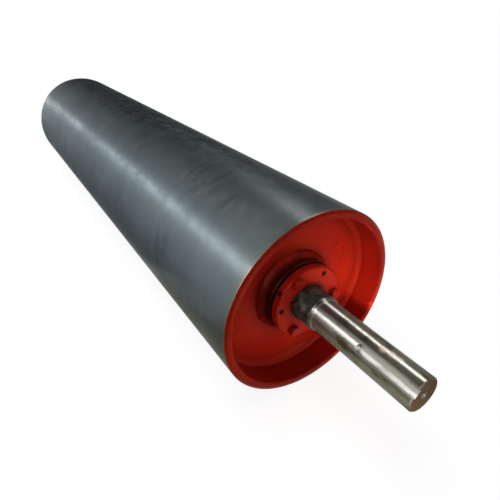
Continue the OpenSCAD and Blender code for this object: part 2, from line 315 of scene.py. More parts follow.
# black scale on the shaft's full diameter, worn further out, with red spray close to the flange and a lighter
# patch that is a painted highlight
landLook = {
    "name": "shaftScale", "scale": (0.009, 0.011, 0.008), "brown": (0.034, 0.036, 0.023),
    "worn": (0.140, 0.145, 0.105), "rubbed": (0.22, 0.185, 0.135), "spray": (0.13, 0.010, 0.007),
    "grains": {"crust": ((160, 160, 160), 5, 0.65, 0.0), "rings": ((700, 10, 10), 2, 0.5, 3.0),
               "wear": ((80, 100, 100), 4, 0.6, 6.0), "spray": ((240, 240, 240), 3, 0.6, 1.0)},
    "base": ("crust", 0.35, 0.65, "scale", "brown"), "layers": [],
    "near": ("depth", -0.017, -0.002, 1.0, 0.0), "wear": ("wear", 0.44, 0.74, 0.0, 0.65),
    "wearWhere": (0.1, 0.7, 1.0, 0.15),
    "highlightSpot": ((5, 154, 27.8), 1, 9), "rubbedMottle": ("crust", 0.34, 0.56, 0.2, 0.9),
    "sprayWhere": (0.5, 1.0), "sprayMottle": ("spray", 0.54, 0.68, 0.0, 0.8),
    "metal": 0.35, "rings": 0.5, "bump": (0.00025, 0.7), "crustRough": ("crust", 0.3, 0.7, 0.42, 0.60)}


def blackLand(look):
    material, tree, made, band, tone = grained(look)
    near = band("near")
    worn = times(tree, band("wear"), ramp(tree, near, *look["wearWhere"]))
    # a lighter patch where the key light's highlight falls on the land: a painted highlight
    rubbed = times(tree, spot(tree, *look["highlightSpot"]), band("rubbedMottle"))
    spray = times(tree, ramp(tree, near, *look["sprayWhere"]), band("sprayMottle"))
    for mask, colour in ((worn, "worn"), (rubbed, "rubbed"), (spray, "spray")):
        tone = mixed(tree, mask, tone, look[colour])
    height = plus(tree, made["crust"], times(tree, made["rings"], look["rings"]))
    return finish(material, tree, look, height, {
        "Base Color": tone, "Metallic": look["metal"], "Roughness": band("crustRough")})


# the shaft's end faces, with the fine rings of a facing cut
endLook = {
    "name": "shaftEndFace", "steel": (0.088, 0.070, 0.050), "film": (0.060, 0.046, 0.033),
    "edge": (0.35, 0.30, 0.24), "metal": 1.0, "grains": {"blotch": ((90, 90, 90), 4, 0.6, 0.0)},
    "base": ("blotch", 0.35, 0.65, "steel", "film"), "layers": [],
    "facingPitch": 0.0006, "facing": 0.3, "bump": (0.00005, 0.5), "rough": ("blotch", 0.3, 0.7, 0.40, 0.52)}


# milled keyway and centre holes, with a painted highlight making them brighter on the side that faces up, and
# painted shade darker on the other side
keywayLook = {
    "name": "keywaySteel", "metal": 1.0, "steel": (0.42, 0.41, 0.385), "stain": (0.165, 0.155, 0.130),
    "grains": {"feed": ((420, 40, 40), 3, 0.6, 0.0), "stain": ((60, 120, 120), 3, 0.6, 5.5)},
    # painted light: bright steel on one side of the turn, the darker stain tone as painted shade on the other
    "base": ("turn", 2.42, 2.63, "stain", "steel"), "layers": [("stain", 0.46, 0.72, 0.6, "stain")],
    "bump": (0.00005, 0.6), "rough": ("feed", 0.3, 0.7, 0.26, 0.40)}


# plain rolled steel inside the drum, and the same finish near black as painted shade in the jack screw holes
rawLook = {
    "name": "rawSteel", "metal": 0.8, "gloss": 0.5, "steel": (0.16, 0.155, 0.15), "dark": (0.07, 0.068, 0.065),
    "rust": (0.12, 0.06, 0.035),
    "grains": {"scale": ((120, 120, 120), 5, 0.6, 0.0), "rust": ((40, 40, 40), 4, 0.6, 3.3)},
    "base": ("scale", 0.35, 0.65, "dark", "steel"), "layers": [("rust", 0.55, 0.7, 0.6, "rust")],
    "bump": (0.0002, 0.5), "rough": ("scale", 0.3, 0.7, 0.40, 0.60)}
threadLook = {**rawLook, "name": "darkThreadSteel", "metal": 0.0, "gloss": 0.04, "steel": (0.026, 0.014, 0.011),
              "dark": (0.012, 0.006, 0.005), "rust": (0.050, 0.012, 0.008)}


def plainSteel(look):
    # its relief and roughness go by one pattern, and a facing cut adds its rings
    material, tree, made, band, tone = grained(look)
    height = made[look["rough"][0]]
    if "facing" in look:
        rings = calc(tree, "SINE", times(tree, fromShaft(tree), 2 * pi / look["facingPitch"]))
        height = plus(tree, times(tree, rings, look["facing"]), height)
    return finish(material, tree, look, height, {
        "Base Color": tone, "Metallic": look["metal"], "Roughness": band("rough"),
        "Specular IOR Level": look.get("gloss", 0.5), "Specular Tint": (*look.get("edge", (1, 1, 1)), 1.0)})


shellFinish = turnedShell(shellLook)
enamelFinish = redEnamel(enamelLook)
journalFinish = turnedJournal(journalLook)
landFinish = blackLand(landLook)
endFinish = plainSteel(endLook)
keywayFinish = plainSteel(keywayLook)
rawFinish = plainSteel(rawLook)
threadFinish = plainSteel(threadLook)
print("finishes made")


# mesh helpers
bends = {"steps": 4, "mostOfEdge": 0.49, "longRun": 0.006, "besideBend": 0.0008}   # metres


def rounded(corners, steps=bends["steps"]):
    # corners are (x, radius, corner radius) in order round a closed section
    points = []
    count = len(corners)
    for index, (x, r, bend) in enumerate(corners):
        here = Vector((x, r))
        if bend <= 0:
            points.append(here)
            continue
        before = Vector(corners[index - 1][:2]) - here
        after = Vector(corners[(index + 1) % count][:2]) - here
        half = before.angle(after) / 2
        reach = min(bend / tan(half), bends["mostOfEdge"] * before.length, bends["mostOfEdge"] * after.length)
        turnRadius = reach * tan(half)
        centre = here + (before.normalized() + after.normalized()).normalized() * (turnRadius / sin(half))
        first = here + before.normalized() * reach - centre
        last = here + after.normalized() * reach - centre
        sweep = first.angle_signed(last)
        for step in range(steps + 1):
            angle = -sweep * step / steps
            spun = Vector((first.x * cos(angle) - first.y * sin(angle),
                           first.x * sin(angle) + first.y * cos(angle)))
            points.append(centre + spun)
    # a short band beside each bend keeps the long straight faces flat shaded
    banded = []
    for index, here in enumerate(points):
        banded.append(here)
        run = points[(index + 1) % len(points)] - here
        if run.length > bends["longRun"]:
            step = run.normalized() * bends["besideBend"]
            banded += [here + step, here + run - step]
    return banded


def linked(name, data):
    made = bpy.data.objects.new(name, data)
    scene.collection.objects.link(made)
    return made


def newObject(name, bm, finishes):
    bmesh.ops.remove_doubles(bm, verts=bm.verts, dist=1e-7)
    bmesh.ops.recalc_face_normals(bm, faces=bm.faces)
    mesh = bpy.data.meshes.new(name)
    bm.to_mesh(mesh)
    bm.free()
    for finishUsed in finishes:
        mesh.materials.append(finishUsed)
    return linked(name, mesh)


def smooth(piece, sharp=28):
    # smooth shading, with sharp edges past an angle in degrees
    mesh = piece.data
    mesh.polygons.foreach_set("use_smooth", [True] * len(mesh.polygons))
    mesh.set_sharp_from_angle(angle=radians(sharp))
    return piece


def bridge(bm, here, following):
    # quads between two rows of vertices that close on themselves
    for column in range(len(here)):
        after = (column + 1) % len(here)
        bm.faces.new((here[column], here[after], following[after], following[column]))


def turned(name, section, finishes, steps, shape=None):
    # spins a closed section of (x, radius) about the shaft axis; shape may move each point by its angle
    bm = bmesh.new()
    rings = []
    for step in range(steps):
        angle = 2 * pi * step / steps
        places = [shape(index, *point, angle) if shape else point for index, point in enumerate(section)]
        rings.append([bm.verts.new(spunPoint(*place, angle)) for place in places])
    for here, following in zip(rings, rings[1:] + rings[:1]):
        for index in range(len(section)):
            after = (index + 1) % len(section)
            if section[index].y < 1e-9 and section[after].y < 1e-9:
                continue
            bm.faces.new((here[index], here[after], following[after], following[index]))
    bmesh.ops.dissolve_degenerate(bm, dist=1e-8, edges=bm.edges)
    return newObject(name, bm, finishes)


def addTo(bm, one):
    # adds one finished copy to the mesh of the whole set
    held = bpy.data.meshes.new("held")
    one.to_mesh(held)
    one.free()
    bm.from_mesh(held)
    bpy.data.meshes.remove(held)


def fromRim(side, corners):
    # (mm outwards from the rim plane, radius mm, bend mm) into metres of the row frame
    return [(side * (rimX + x * mm), r * mm, bend * mm) for x, r, bend in corners]


cutters = {"steps": 48, "past": 2.0, "inside": 10.0, "outside": 62.0, "shaftOutside": 30.0}


def cutterRod(length, radius, place):
    # a round bar along Z, set in place
    bm = bmesh.new()
    bmesh.ops.create_cone(bm, cap_ends=True, segments=cutters["steps"], radius1=radius * mm, radius2=radius * mm,
                          depth=length * mm)
    bm.transform(place)
    return newObject("rod", bm, [])


def rodAlong(side, x0, x1, radius, centreRadius, angle):
    # a bar along the shaft, at a place round it
    centre = spunPoint(side * (rimX + (x0 + x1) / 2 * mm), centreRadius * mm, angle)
    return cutterRod(abs(x1 - x0), radius, Matrix.Translation(centre) @ Matrix.Rotation(angle, 4, "X")
                     @ Matrix.Rotation(pi / 2, 4, "Y"))


def post(x, rLow, rHigh, diameter, angle):
    # a bar that points away from the shaft; x is in metres of the row frame
    return cutterRod(rHigh - rLow, diameter / 2, Matrix.Rotation(angle, 4, "X")
                     @ Matrix.Translation((x, (rLow + rHigh) / 2 * mm, 0)) @ Matrix.Rotation(pi / 2, 4, "X"))


def slot(xLow, xHigh, rLow, rHigh, width, angle):
    # a square bar along the shaft, between two x in metres of the row frame
    bm = bmesh.new()
    bmesh.ops.create_cube(bm, size=1.0)
    bm.transform(Matrix.Rotation(angle, 4, "X")
                 @ Matrix.Translation(((xLow + xHigh) / 2, (rLow + rHigh) / 2 * mm, 0))
                 @ Matrix.Diagonal((abs(xHigh - xLow), (rHigh - rLow) * mm, width * mm, 1)))
    return newObject("slot", bm, [])


def cut(piece, tools):
    for tool in tools:
        modifier = piece.modifiers.new("cut", "BOOLEAN")
        modifier.operation = "DIFFERENCE"
        modifier.solver = "EXACT"
        modifier.object = tool
    bpy.context.view_layer.update()
    seen = piece.evaluated_get(bpy.context.evaluated_depsgraph_get())
    result = bpy.data.meshes.new_from_object(seen)
    piece.modifiers.clear()
    piece.data = result
    for tool in tools:
        bpy.data.objects.remove(tool)
    return piece


shell = {"wall": 12.7, "bevelIn": 2.4, "bevelDown": 4.8, "innerBreak": 1.6, "edgeBend": 0.8, "bevelBend": 0.5,
         "steps": 360}
shell["outer"] = drumRadius / mm
shell["inner"] = shell["outer"] - shell["wall"]


def makeShell():
    bend, inner = shell["edgeBend"], shell["inner"]
    corners = []
    for side in (1, -1):
        half = fromRim(side, [(-shell["innerBreak"], inner, bend), (0, inner + shell["innerBreak"], bend),
                              (0, shell["outer"] - shell["bevelDown"], bend),
                              (-shell["bevelIn"], shell["outer"], shell["bevelBend"])])
        corners += half if side == 1 else half[::-1]
    piece = turned("drumShell", rounded(corners), [shellFinish], shell["steps"])
    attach(smooth(piece), "drum_and_shaft")
    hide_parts("drum_shell")


# the paint laps over the bevel to an uneven brushed edge, and runs down inside the shell behind the disc
rimPaint = {
    "film": 0.15, "edgeAt": -2.02, "edgeWander": 0.32, "wanderSizes": (6, 31), "backTo": -43.0,
    "lap": 0.2, "skin": 0.1, "ease": 0.06, "bends": (0.1, 1.0, 0.9), "edgePoints": 6}


def makeRimPaint(end, side):
    film, lap, skin, ease = (rimPaint[key] for key in ("film", "lap", "skin", "ease"))
    inner, cornerBreak = shell["inner"], shell["innerBreak"]
    lip = shell["outer"] - shell["bevelDown"]
    edge = rimPaint["edgeAt"]
    edgeRadius = lip - 2 * edge
    edgeBend, lipBend, innerBend = rimPaint["bends"]
    section = rounded(fromRim(side, [
        (edge + 0.9 * film, edgeRadius + 0.45 * film, edgeBend), (film, lip + 0.04, lipBend),
        (film, inner + cornerBreak - ease, innerBend), (ease - cornerBreak, inner - film, innerBend),
        (rimPaint["backTo"], inner - film, 0), (rimPaint["backTo"], inner + skin, 0),
        (-cornerBreak - lap, inner + skin, 0), (-lap, inner + cornerBreak + lap, 0), (-lap, lip - skin, 0),
        (edge - film, edgeRadius - 2 * film, 0)]))
    edgePoints = set(range(rimPaint["edgePoints"])) | {len(section) - 1}
    broad, fine = rimPaint["wanderSizes"]

    def wander(index, x, r, angle):
        if index not in edgePoints:
            return x, r
        place = Vector((cos(angle), sin(angle), side))
        shift = rimPaint["edgeWander"] * mm * (noise.noise(place * broad) + 0.5 * noise.noise(place * fine))
        return x + side * shift, r - 2 * shift

    piece = turned(end + "RimPaint", section, [enamelFinish], shell["steps"], wander)
    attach(smooth(piece), "drum_and_shaft")


makeShell()
for end, side in ends.items():
    makeRimPaint(end, side)
print("drum shell and painted rims made")


# fillet welds
bead = {"leg": 9.5, "crown": 0.9, "ripple": 0.28, "ripplePitch": 3.4, "wander": 0.05, "flutter": 0.03,
        "lean": 3.6, "unevenPitch": 0.5, "sectionSteps": 10, "stepsPerRipple": 6}
# by name: node, root from the rim plane and its radius, which way the legs go out and along, finish and slot
beads = {"RimWeld": ("_rim_weld", -50.8, 139.65, -1, 1, enamelFinish, "red_enamel"),
         "HubWeld": ("_hub_weld", -50.8, 60.375, 1, 1, enamelFinish, "red_enamel"),
         "HubBackWeld": ("_hub_back_weld", -69.85, 60.375, 1, -1, rawFinish, "raw_steel")}


def makeBead(name, node, side, rootX, rootRadius, outR, outX, finishUsed, slotUsed):
    # its face bulges and carries the ripples of each pass
    count = round(2 * pi * rootRadius / bead["ripplePitch"])
    section = [Vector((side * (rimX + rootX * mm), rootRadius * mm))]
    spread = [index / bead["sectionSteps"] for index in range(bead["sectionSteps"] + 1)]
    for t in spread:
        bulge = bead["crown"] * 4 * t * (1 - t) / sqrt(2)
        section.append(Vector((side * (rimX + (rootX + outX * (bead["leg"] * t + bulge)) * mm),
                               (rootRadius + outR * (bead["leg"] * (1 - t) + bulge)) * mm)))

    def rippled(index, x, r, angle):
        if index == 0:
            return x, r
        t = spread[index - 1]
        place = Vector((cos(angle) * 3, sin(angle) * 3, rootX))
        legScale = 1 + bead["wander"] * noise.noise(place) + bead["flutter"] * noise.noise(place * 9)
        phase = (angle * count / (2 * pi) + bead["lean"] * (t - 0.5) ** 2
                 + bead["unevenPitch"] * noise.noise(place * 5)) % 1.0
        lift = bead["ripple"] * mm * (1 - phase) ** 0.7 * sin(pi * t) ** 0.5
        dx, dr = x - section[0].x, r - section[0].y
        scale = legScale + (lift - 0.5 * bead["ripple"] * mm) / hypot(dx, dr)
        return section[0].x + dx * scale, section[0].y + dr * scale

    piece = turned(name, section, [finishUsed], count * bead["stepsPerRipple"], rippled)
    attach(smooth(piece, 50), "drum_and_shaft")
    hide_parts(node)


for end, side in ends.items():
    for name, (node, *look) in beads.items():
        makeBead(end + name, end + node, side, *look)
print("weld beads made")


# weld-on hubs and split taper bushings; the key lies midway between a cap screw and a jack hole
hub = {"radius": 60.325, "face": -29.7, "length": 50.8, "chamfer": 1.6, "mouth": 39.628, "throat": 38.041,
       "bend": 0.6, "mouthBend": 0.2, "screwHole": 4.8125}
bushing = {
    "flangeRadius": 58.7375, "back": -26.2, "front": -13.5, "barrel": 38.1, "bore": 27.83125,
    "taper": 39.6875, "taperEnd": 38.496875, "chamfer": 1.5, "bend": 0.5, "barrelBend": 0.4,
    "splitWidth": 3.2, "keyWidth": 12.86, "keyTop": 34.33, "screwCircle": 49.2125, "screwHole": 5.1625,
    "jackHole": 4.25, "setHole": 3.95, "setHoleAt": 6.35, "setHoleFrom": 30.0, "firstAngle": -2.5, "steps": 256}
screwAngles = [radians(bushing["firstAngle"] + 120 * index) for index in range(3)]
jackAngles = [angle + radians(60) for angle in screwAngles]
keyAngle = radians(bushing["firstAngle"] + 150)


def boltHoles(side, low, high, radius, angles):
    return [rodAlong(side, low - cutters["past"], high + cutters["past"], radius, bushing["screwCircle"], angle)
            for angle in angles]


def makeHub(end, side):
    face, radius, chamfer, bend = (hub[key] for key in ("face", "radius", "chamfer", "bend"))
    back = face - hub["length"]
    corners = fromRim(side, [
        (back, hub["throat"], 0), (back, radius - chamfer, bend), (back + chamfer, radius, bend),
        (face - chamfer, radius, bend), (face, radius - chamfer, bend), (face, hub["mouth"], hub["mouthBend"])])
    piece = turned(end + "Hub", rounded(corners), [enamelFinish], bushing["steps"])
    smooth(cut(piece, boltHoles(side, back, face, hub["screwHole"], screwAngles)))
    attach(piece, "drum_and_shaft")
    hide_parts(end + "_hub")


def makeBushing(end, side):
    back, front = bushing["back"], bushing["front"]
    inner = back - bushing["barrel"]
    rim, bore, bend, chamfer = (bushing[key] for key in ("flangeRadius", "bore", "bend", "chamfer"))
    corners = fromRim(side, [
        (inner, bore, 0), (inner, bushing["taperEnd"], bushing["barrelBend"]), (back, bushing["taper"], 0),
        (back, rim - chamfer, bend), (back + chamfer, rim, bend), (front - chamfer, rim, bend),
        (front, rim - chamfer, bend), (front, bore + chamfer, bend), (front - chamfer, bore, bend)])
    piece = turned(end + "Bushing", rounded(corners), [enamelFinish], bushing["steps"])
    low, high = (side * (rimX + x * mm) for x in (inner - cutters["past"], front + cutters["past"]))
    tools = [slot(low, high, cutters["inside"], cutters["outside"], bushing["splitWidth"], keyAngle + pi),
             slot(low, high, cutters["inside"], bushing["keyTop"], bushing["keyWidth"], keyAngle),
             post(side * (rimX + (front - bushing["setHoleAt"]) * mm), bushing["setHoleFrom"],
                  cutters["outside"], 2 * bushing["setHole"], keyAngle)]
    tools += boltHoles(side, back, front, bushing["screwHole"], screwAngles)
    tools += boltHoles(side, back, front, bushing["jackHole"], jackAngles)
    smooth(cut(piece, tools))
    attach(piece, end + "_bushing_set")
    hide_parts(end + "_bushing")


def seat(bm, side, x, angle, twist=0.0):
    # from a screw's own axis along +X to its place on the bolt circle
    bm.transform(Matrix.Translation(spunPoint(side * (rimX + x * mm), bushing["screwCircle"] * mm, angle))
                 @ Matrix.Rotation(angle + twist, 4, "X") @ Matrix.Diagonal((side, 1, 1, 1)))


def addRows(bm, rows, angles, closed=False):
    # each row gives (x, radius) at an angle; neighbouring rows are joined round the axis
    made = [[bm.verts.new(spunPoint(*row(angle), angle)) for angle in angles] for row in rows]
    for here, following in zip(made, made[1:] + made[:1] if closed else made[1:]):
        bridge(bm, here, following)


def still(x, r):
    # a row that is a plain circle
    return lambda angle: (x, r)


thread = {"pitch": 1.5875, "depth": 0.55, "flank": 1.25, "stepsPerTurn": 8, "columns": 40, "lead": 0.8,
          "inWall": 0.05}


def threadHeight(x, angle, side):
    turn = (side * x / (thread["pitch"] * mm) - angle / (2 * pi)) % 1.0
    return thread["depth"] * mm * min(1.0, thread["flank"] * abs(2 * turn - 1))


def makeJackThreads(end, side):
    bm = bmesh.new()
    run = bushing["front"] - bushing["back"] - 2 * thread["lead"]
    angles = [2 * pi * index / thread["columns"] for index in range(thread["columns"])]
    count = int(run / thread["pitch"] * thread["stepsPerTurn"])
    wall = (bushing["jackHole"] + thread["inWall"]) * mm
    xs = [(-thread["lead"] - run * index / count) * mm for index in range(count + 1)]
    rows = [lambda angle, x=x: (x, bushing["jackHole"] * mm - threadHeight(x, angle, side)) for x in xs]
    rows += [still(xs[-1], wall), still(xs[0], wall)]
    for boltAngle in jackAngles:
        hole = bmesh.new()
        addRows(hole, rows, angles, closed=True)
        seat(hole, side, bushing["front"], boltAngle)
        addTo(bm, hole)
    piece = newObject(end + "JackThreads", bm, [threadFinish])
    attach(smooth(piece, 40), end + "_bushing_set")


screw = {"acrossFlats": 14.2875, "head": 6.0, "radius": 4.7625, "length": 50.8, "washer": 2.4,
         "twists": (0.0, 0.35, -0.2), "cornerKept": 0.982, "chamferFrom": 0.93, "plainTo": 8.0, "point": 1.2,
         "flatSteps": (-28, -22, -15, -8, -3.5, 0, 3.5, 8, 15, 22)}


def hexRadius(angle):
    half = screw["acrossFlats"] / 2 * mm
    offset = (angle + pi / 6) % (pi / 3) - pi / 6
    return min(half / cos(pi / 6 - abs(offset)), screw["cornerKept"] * half / cos(pi / 6))


def makeCapScrews(end, side):
    bm = bmesh.new()
    angles = [radians(60 * corner + step) for corner in range(6) for step in screw["flatSteps"]]
    half, head, radius = screw["acrossFlats"] / 2 * mm, screw["head"] * mm, screw["radius"] * mm
    tip, point = screw["length"] * mm, screw["point"] * mm

    def chamfered(angle):
        fall = (hexRadius(angle) - screw["chamferFrom"] * half) * tan(radians(30))
        return head - fall, hexRadius(angle)

    def hexagon(x, over):
        return lambda angle: (x, hexRadius(angle) + over * mm)

    # top of the head, its chamfer and flats, the bearing face, then the shank with its thread
    rows = [still(head, 1e-6), still(head, 0.5 * half), still(head, 0.90 * half),
            still(head - 0.06 * mm, 0.94 * half), chamfered,
            lambda angle: (chamfered(angle)[0] - 0.4 * mm, hexRadius(angle) + 0.01 * mm),
            hexagon(0.5 * mm, 0.01), hexagon(0.12 * mm, -0.25), still(0.1 * mm, 0.95 * half),
            still(0.0, 0.94 * half), still(0.0, radius + 0.4 * mm), still(-0.4 * mm, radius)]
    start, stop = screw["plainTo"] * mm, tip - point
    rows.append(still(thread["lead"] * mm - start, radius))
    count = int((stop - start) / (thread["pitch"] * mm) * thread["stepsPerTurn"])
    for index in range(count + 1):
        x = -start - (stop - start) * index / count
        rows.append(lambda angle, x=x: (x, radius - threadHeight(x, angle, side)))
    rows += [still(-tip, radius - point), still(-tip, 1e-6)]
    for boltAngle, twist in zip(screwAngles, screw["twists"]):
        one = bmesh.new()
        addRows(one, rows, angles)
        bmesh.ops.remove_doubles(one, verts=one.verts, dist=2e-6)
        seat(one, side, bushing["front"] + screw["washer"], boltAngle, twist)
        addTo(bm, one)
    piece = newObject(end + "CapScrews", bm, [enamelFinish])
    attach(smooth(piece, 32), end + "_bushing_set")
    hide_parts(end + "_cap_screws")


lockWasher = {
    "inner": 5.1625, "outer": 8.5, "thickness": 2.05, "rise": 0.3, "gap": 1.6, "corner": 0.25,
    "twist": 0.9, "steps": 64}


def makeLockWashers(end, side):
    bm = bmesh.new()
    inner, outer, thick, corner = (lockWasher[key] for key in ("inner", "outer", "thickness", "corner"))
    section = [(corner, inner), (thick - corner, inner), (thick, inner + corner), (thick, outer - corner),
               (thick - corner, outer), (corner, outer), (0, outer - corner), (0, inner + corner)]
    half = lockWasher["gap"] / 2 / outer
    for index, boltAngle in enumerate(screwAngles):
        one = bmesh.new()
        rings = []
        for step in range(lockWasher["steps"] + 1):
            t = step / lockWasher["steps"]
            angle = half + (2 * pi - 2 * half) * t
            rings.append([one.verts.new(spunPoint((x + lockWasher["rise"] * t) * mm, r * mm, angle))
                          for x, r in section])
        for here, following in zip(rings, rings[1:]):
            bridge(one, here, following)
        one.faces.new(rings[0][::-1])
        one.faces.new(rings[-1])
        seat(one, side, bushing["front"], boltAngle, lockWasher["twist"] * index)
        addTo(bm, one)
    piece = newObject(end + "LockWashers", bm, [enamelFinish])
    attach(smooth(piece, 32), end + "_bushing_set")
    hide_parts(end + "_lock_washers")


for end, side in ends.items():
    makeHub(end, side)
    makeBushing(end, side)
    makeJackThreads(end, side)
    makeCapScrews(end, side)
    makeLockWashers(end, side)
print("hubs and bushings made")


# corner lists are (mm along, mm out, bend) from the start and the end of the collar
shaft = {
    "body": 27.78125, "journal": 24.60625, "collar": 27.18125, "bodyReach": 18.5, "collarLength": 4.5,
    "meetAt": -60.0, "bodyEdge": (0.6, 0.25), "filletSteps": 8,
    "collarStart": [(0, 0.15, 0.2), (0.25, -0.25, 0.1), (0.6, 0, 0.1)],
    "collarEnd": [(-0.5, 0, 0.25), (0, -0.35, 0.2)],
    "chamfer": 1.6, "endBend": 0.3, "centreMouth": 5.0, "centrePilot": 2.4, "centreDepth": 12.0,
    "centreAngle": 30.0, "drillPoint": 1.4, "brightCentre": 9.0,
    "keywayLength": 88.9, "keywayWidth": 12.7, "keywayDepth": 6.35, "keywayAngle": 144.0, "keywayPast": 60.0,
    "keywayOver": 15.0, "keyLength": 44.45, "keyFrom": -15.5, "steps": 288, "bendSteps": 3}
reaches = {1: (shaftHigh.x - rimX) / mm, -1: (-shaftLow.x - rimX) / mm}
keywaySpin = radians(shaft["keywayAngle"])


def floorRadius(bar, width, depth):
    # from the axis to the floor of a slot whose depth is measured at its side
    return sqrt(bar * bar - width * width / 4) - depth


def shaftHalf(side):
    body, journal, collar, reach = shaft["body"], shaft["journal"], shaft["collar"], reaches[side]
    step, lip = shaft["bodyReach"], shaft["bodyReach"] + shaft["collarLength"]
    fillet = collar - journal
    edge, edgeBend = shaft["bodyEdge"]
    corners = [(shaft["meetAt"], body, 0), (step - edge, body, edgeBend)]
    corners += [(step + x, collar + r, bend) for x, r, bend in shaft["collarStart"]]
    corners += [(lip + x, collar + r, bend) for x, r, bend in shaft["collarEnd"]]
    for index in range(1, shaft["filletSteps"] + 1):
        turn = pi / 2 * index / shaft["filletSteps"]
        corners.append((lip + fillet * (1 - cos(turn)), journal + fillet * (1 - sin(turn)), 0))
    chamfer, bend = shaft["chamfer"], shaft["endBend"]
    mouth, pilot, bottom = shaft["centreMouth"], shaft["centrePilot"], reach - shaft["centreDepth"]
    cone = (mouth - pilot) / tan(radians(shaft["centreAngle"]))
    corners += [(reach - chamfer, journal, bend), (reach, journal - chamfer, bend), (reach, mouth, bend),
                (reach - cone, pilot, 0), (bottom, pilot, 0), (bottom - shaft["drillPoint"], 0, 0)]
    return fromRim(side, corners)


def finishShaftFaces(mesh):
    # 0 journal, 1 dark full diameter, 2 end faces, 3 keyway and centre cones
    keyFloor = spunPoint(0, 1, keywaySpin)
    for face in mesh.polygons:
        x = abs(face.center.x) - rimX
        r = hypot(face.center.y, face.center.z)
        reach = reaches[1 if face.center.x > 0 else -1]
        facing = abs(face.normal.x) > 0.9
        if not facing and r < shaft["centreMouth"] * mm and x > (reach - shaft["brightCentre"]) * mm:
            face.material_index = 3
        elif facing and x > (reach - 0.3) * mm or r < (shaft["centreMouth"] + 0.2) * mm:
            face.material_index = 2
        elif x < (shaft["bodyReach"] + 0.1) * mm:
            face.material_index = 1
        elif (not facing and face.center.x > 0 and shaft["keywayPast"] * mm < x < (reach - 0.5) * mm
              and r < (shaft["journal"] - 0.4) * mm and face.center.dot(keyFloor) > shaft["keywayOver"] * mm):
            face.material_index = 3


def makeShaft():
    piece = turned("pulleyShaft", rounded(shaftHalf(1) + shaftHalf(-1)[::-1], shaft["bendSteps"]),
                   [journalFinish, landFinish, endFinish, keywayFinish], shaft["steps"])
    width, outside = shaft["keywayWidth"], cutters["shaftOutside"]
    floor = floorRadius(shaft["journal"], width, shaft["keywayDepth"])
    start = shaftHigh.x - (shaft["keywayLength"] - width / 2) * mm
    tools = [slot(start, shaftHigh.x + cutters["past"] * mm, floor, outside, width, keywaySpin),
             post(start, floor, outside, width, keywaySpin)]
    seatFloor = floorRadius(shaft["body"], width, width / 2)
    for side in (1, -1):
        near, far = (side * (rimX + x * mm) for x in (shaft["keyFrom"], shaft["keyFrom"] - shaft["keyLength"]))
        tools.append(slot(near, far, seatFloor, outside, width, keyAngle))
        tools += [post(x, seatFloor, outside, width, keyAngle) for x in (near, far)]
    cut(piece, tools)
    finishShaftFaces(piece.data)
    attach(smooth(piece), "drum_and_shaft")
    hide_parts("pulley_shaft")


makeShaft()
print("shaft made")


# finishes on the solids that stay
kept = {"end_disc": enamelFinish, "centre_disc": rawFinish, "centre_weld": rawFinish, "set_screw": rawFinish,
        "bushing_key": landFinish}
for end in ends:
    for part, finishUsed in kept.items():
        materials = nodes[end + "_" + part].data.materials
        materials.clear()
        materials.append(finishUsed)
print("solids finished")


# a pale floor and sky; the camera and mirrors see them white, and they give the object little light
stage = {"floorSize": 400.0, "under": 0.0005, "floor": (0.50, 0.50, 0.50), "floorSeen": (0.60, 0.60, 0.60),
         "glow": 0.88, "mirrored": 0.85, "sky": 0.05}


def seenRays(tree):
    # 1 for what the camera sees straight, and 1 for what it sees in a mirror or through glass
    light = addNode(tree, "LightPath").outputs
    return light["Is Camera Ray"], calc(tree, "MAXIMUM", light["Is Glossy Ray"], light["Is Transmission Ray"])


def makeFloor():
    bpy.ops.mesh.primitive_plane_add(size=stage["floorSize"], location=(0, 0, -drumRadius - stage["under"]))
    floor = bpy.context.object
    floor.name = "floor"
    material, tree = newMaterial("paleFloor")
    straight, mirrored = seenRays(tree)
    tone = mixed(tree, mirrored, mixed(tree, straight, stage["floor"], stage["floorSeen"]), (0.0, 0.0, 0.0))
    glow = calc(tree, "MAXIMUM", times(tree, straight, stage["glow"]), times(tree, mirrored, stage["mirrored"]))
    both = addNode(tree, "AddShader", {0: addNode(tree, "BsdfDiffuse", {"Color": tone}).outputs[0],
                                       1: addNode(tree, "Emission", {"Strength": glow}).outputs[0]})
    addNode(tree, "OutputMaterial", {"Surface": both.outputs[0]})
    floor.data.materials.append(material)
    return floor


def makeSky():
    world = bpy.data.worlds.new("studio")
    scene.world = world
    world.use_nodes = True
    tree = world.node_tree
    tree.nodes.clear()
    strength = ramp(tree, calc(tree, "MAXIMUM", *seenRays(tree)), 0.0, 1.0, stage["sky"])
    sky = addNode(tree, "Background", {"Color": (1, 1, 1, 1), "Strength": strength})
    addNode(tree, "OutputWorld", {"Surface": sky.outputs[0]})


